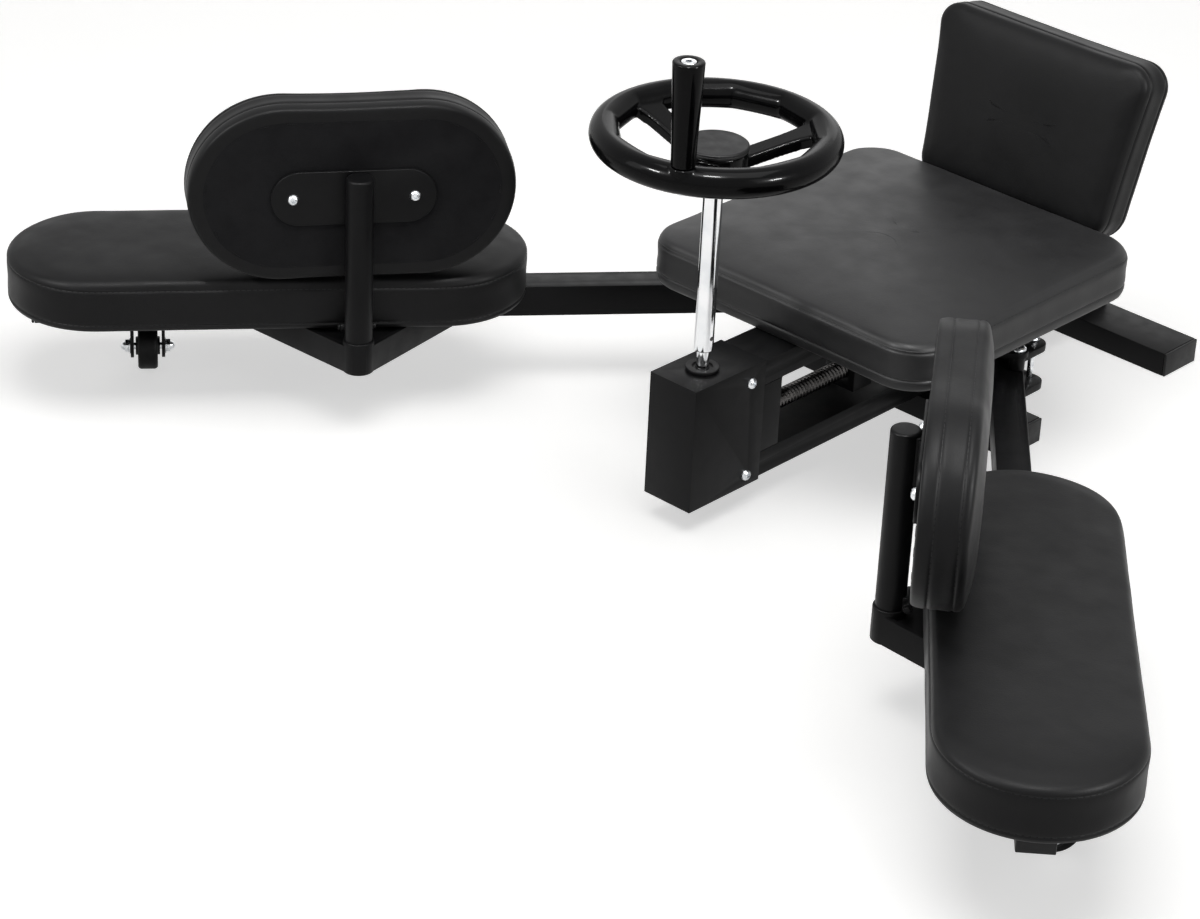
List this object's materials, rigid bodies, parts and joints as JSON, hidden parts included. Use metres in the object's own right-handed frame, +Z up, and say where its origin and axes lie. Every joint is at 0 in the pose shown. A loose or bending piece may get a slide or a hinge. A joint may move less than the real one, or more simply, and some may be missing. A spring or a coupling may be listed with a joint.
{
  "type": "leg stretching machine",
  "caption": "Low beam with a padded seat, tilted backrest and two padded leg arms on casters that swing open by a handwheel, bevel gears, lead screw and links.",
  "frame": {"origin": "on the floor under the middle foot, midway between the two arm pivots", "axes": "+Z up, -Y the front where the handwheel stands, +X the left of a person on the seat"},
  "size_m": [1.4468, 1.0334, 0.5408],
  "materials": {
    "black_steel": "satin black powder coat",
    "gloss_black": "polished black moulding",
    "vinyl": "fine-grained charcoal upholstery vinyl",
    "plywood": "plain plywood",
    "chrome": "bright chrome plate",
    "bare_steel": "machined steel",
    "bronze": "machined bronze",
    "plastic": "moulded black plastic"
  },
  "bodies": {
    "frame": {"lower_rail": "black_steel", "upper_rail": "black_steel", "front_upright": "black_steel", "screw_bearing": "bronze", "gearbox_cover": "black_steel", "cover_bolt_upper": "chrome", "cover_bolt_lower": "chrome", "shaft_bearing": "plastic", "rear_foot": "black_steel", "rear_foot_cap_left": "plastic", "rear_foot_cap_right": "plastic", "middle_foot": "black_steel", "middle_foot_cap_left": "plastic", "middle_foot_cap_right": "plastic", "pivot_plate_lower": "black_steel", "pivot_plate_upper": "black_steel", "pivot_column": "black_steel", "pivot_bolt_left": "chrome", "spacer_bolt_left": "chrome", "pivot_bolt_right": "chrome", "spacer_bolt_right": "chrome", "seat_board": "plywood", "seat_cushion": "vinyl", "backrest_board": "plywood", "backrest_cushion": "vinyl", "backrest_bracket": "black_steel"},
    "handwheel": {"handwheel": "gloss_black", "shaft_tube": "chrome", "input_shaft": "chrome", "input_bevel_gear": "bare_steel", "cross_pin": "bare_steel", "handle_bolt": "chrome"},
    "handle": {"handle_grip": "gloss_black"},
    "screw": {"lead_screw": "bare_steel", "screw_bevel_gear": "bare_steel"},
    "nut": {"drive_nut": "black_steel"},
    "arm_left": {"arm_tube_left": "black_steel", "arm_cap_left": "plastic", "link_pin_left": "chrome", "vee_bracket_left": "black_steel", "upright_post_left": "black_steel", "leg_pad_board_left": "plywood", "leg_pad_cushion_left": "vinyl", "upright_cushion_left": "vinyl", "caster_fork_left": "black_steel", "caster_axle_left": "chrome"},
    "link_left": {"link_left": "black_steel"},
    "caster_left": {"caster_wheel_left": "plastic"},
    "arm_right": {"arm_tube_right": "black_steel", "arm_cap_right": "plastic", "link_pin_right": "chrome", "vee_bracket_right": "black_steel", "upright_post_right": "black_steel", "leg_pad_board_right": "plywood", "leg_pad_cushion_right": "vinyl", "upright_cushion_right": "vinyl", "caster_fork_right": "black_steel", "caster_axle_right": "chrome"},
    "link_right": {"link_right": "black_steel"},
    "caster_right": {"caster_wheel_right": "plastic"}
  },
  "joints": [
    {"name": "arm_left_swing", "type": "hinge", "parent": "frame", "child": "arm_left", "pos_m": [0.114, 0, 0.0935], "axis": [0, 0, 1], "range_deg": [-25, 50]},
    {"name": "arm_right_swing", "type": "hinge", "parent": "frame", "child": "arm_right", "pos_m": [-0.114, 0, 0.0935], "axis": [0, 0, -1], "range_deg": [-25.5, 50.5]},
    {"name": "link_left_swing", "type": "hinge", "parent": "arm_left", "child": "link_left", "pos_m": [0.15421, -0.03292, 0.1303], "axis": [0, 0, 1], "range_deg": [-64.5, 32.5]},
    {"name": "link_right_swing", "type": "hinge", "parent": "arm_right", "child": "link_right", "pos_m": [-0.15421, -0.03292, 0.1303], "axis": [0, 0, -1], "range_deg": [-64.5, 32.5]},
    {"name": "nut_travel", "type": "slide", "parent": "frame", "child": "nut", "axis": [0, 1, 0], "range_m": [-0.03573, 0.07046]},
    {"name": "screw_turn", "type": "hinge", "parent": "frame", "child": "screw", "pos_m": [0, -0.3, 0.086], "axis": [0, 1, 0], "range_deg": [-2501.21, 1250.85]},
    {"name": "handwheel_turn", "type": "hinge", "parent": "frame", "child": "handwheel", "pos_m": [0, -0.36, 0.4195], "axis": [0, 0, 1], "range_deg": [-1250.85, 2501.21]},
    {"name": "handle_spin", "type": "hinge", "parent": "handwheel", "child": "handle", "pos_m": [0.04691, -0.4606, 0.487], "axis": [0, 0, 1], "continuous": true},
    {"name": "caster_left_roll", "type": "hinge", "parent": "arm_left", "child": "caster_left", "pos_m": [0.61643, -0.56811, 0.0255], "axis": [0.6374, -0.7705, 0], "continuous": true},
    {"name": "caster_right_roll", "type": "hinge", "parent": "arm_right", "child": "caster_right", "pos_m": [-0.61643, -0.56811, 0.0255], "axis": [-0.6374, -0.7705, 0], "continuous": true}
  ],
  "couplings": [
    {"joint": "arm_right_swing", "follows": "arm_left_swing", "ratio": 1},
    {"joint": "link_left_swing", "follows": "arm_left_swing", "ratio": -1.28},
    {"joint": "link_right_swing", "follows": "arm_left_swing", "ratio": -1.28},
    {"joint": "nut_travel", "follows": "arm_left_swing", "m_per_rad": 0.0796},
    {"joint": "screw_turn", "follows": "arm_left_swing", "ratio": -50.014},
    {"joint": "handwheel_turn", "follows": "arm_left_swing", "ratio": 50.014}
  ]
}
